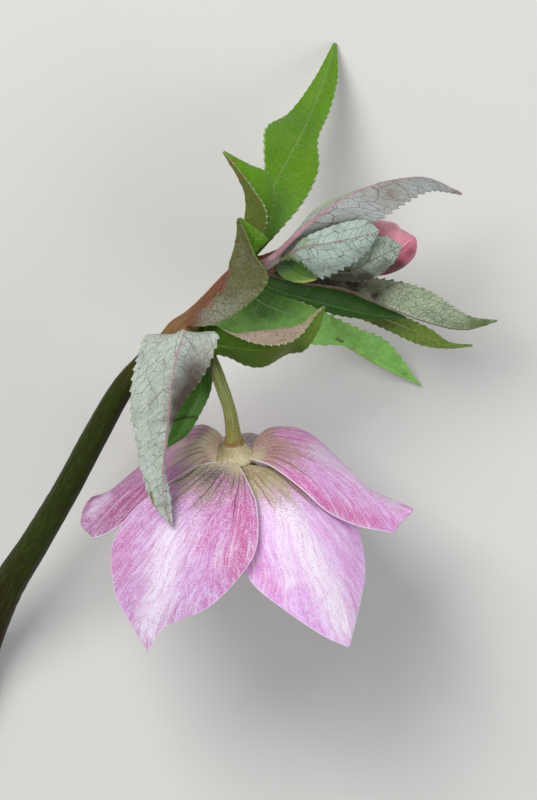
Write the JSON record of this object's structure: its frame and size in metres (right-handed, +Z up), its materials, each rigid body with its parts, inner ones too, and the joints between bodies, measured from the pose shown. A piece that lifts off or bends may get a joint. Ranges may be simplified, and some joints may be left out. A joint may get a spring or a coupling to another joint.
{
  "type": "hellebore flower",
  "caption": "Cut hellebore stem lying down, with a nodding open flower, a closed bud and toothed leafy bracts, some of them folded or rolled.",
  "frame": {"origin": "centre of the bounding box on the table, under the bracts; the stem lies on the table at Z = 0", "axes": "+Z up from the table, +Y along the spray from the cut end to the tip of the top bract, +X towards the side where the bud and the long bracts point"},
  "size_m": [0.1037, 0.1404, 0.0483],
  "materials": {
    "stem": "satin",
    "leaf_underside": "matte",
    "leaf_upper": "satin",
    "sepal": "satin",
    "nectaries": "satin",
    "stamens": "matte",
    "carpels": "satin",
    "bud": "satin"
  },
  "bodies": {
    "root": {"stem": "stem", "bract_hanging": "leaf_underside", "bract_long_right": "leaf_underside", "bract_under_right": "leaf_underside", "bract_sheath": "leaf_underside", "bud_bract_upper": "leaf_underside", "bud_bract_near": "leaf_underside", "bud_bract_far": "leaf_underside", "bract_hanging_inner": "leaf_upper", "bract_folded": "leaf_upper", "bract_lower_right": "leaf_upper", "bract_inner_right": "leaf_upper", "bract_top": "leaf_upper", "bract_top_folded": "leaf_upper", "bud_bract_scoop": "leaf_upper", "sepal_front_left": "sepal", "sepal_front_right": "sepal", "sepal_side_right": "sepal", "sepal_side_left": "sepal", "sepal_back": "sepal", "nectaries": "nectaries", "stamens": "stamens", "carpels": "carpels", "bud": "bud"}
  },
  "joints": []
}
